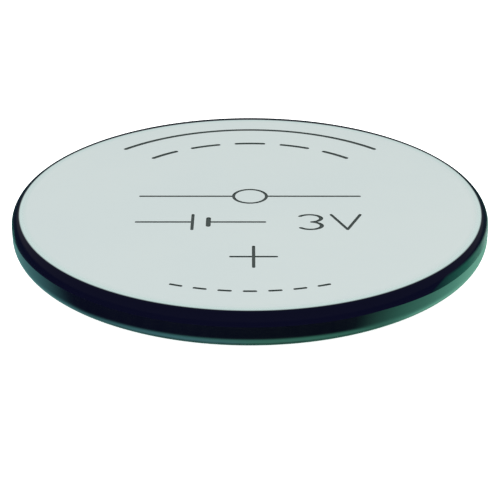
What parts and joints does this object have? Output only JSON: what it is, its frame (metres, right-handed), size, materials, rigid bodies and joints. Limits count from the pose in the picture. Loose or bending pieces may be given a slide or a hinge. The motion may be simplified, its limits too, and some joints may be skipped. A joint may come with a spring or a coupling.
{
  "type": "lithium coin cell",
  "caption": "Flat round primary cell: a drawn steel can with a rolled edge, closed by a hemmed steel cap in a moulded sealing ring.",
  "frame": {"origin": "centre of the negative terminal's face, the lowest point of the cell", "axes": "+Z along the cell's axis, from the negative face out through the positive face; X and Y are free, because every piece is turned about Z"},
  "size_m": [0.02, 0.02, 0.0016],
  "materials": {
    "can_steel": "satin rolled stainless steel face with a bright drawn rim",
    "cap_steel": "fine matte stainless steel",
    "gasket_polypropylene": "moulded polypropylene, semi-matte",
    "ring_steel": "pressed thin steel",
    "cathode_mix": "pressed powder, matte",
    "separator_fleece": "non-woven fleece",
    "lithium_foil": "soft dull metal foil"
  },
  "bodies": {
    "root": {"positive_can": "can_steel", "negative_cap": "cap_steel", "sealing_gasket": "gasket_polypropylene", "cathode_ring": "ring_steel", "cathode_pellet": "cathode_mix", "separator": "separator_fleece", "lithium_anode": "lithium_foil"}
  },
  "joints": []
}
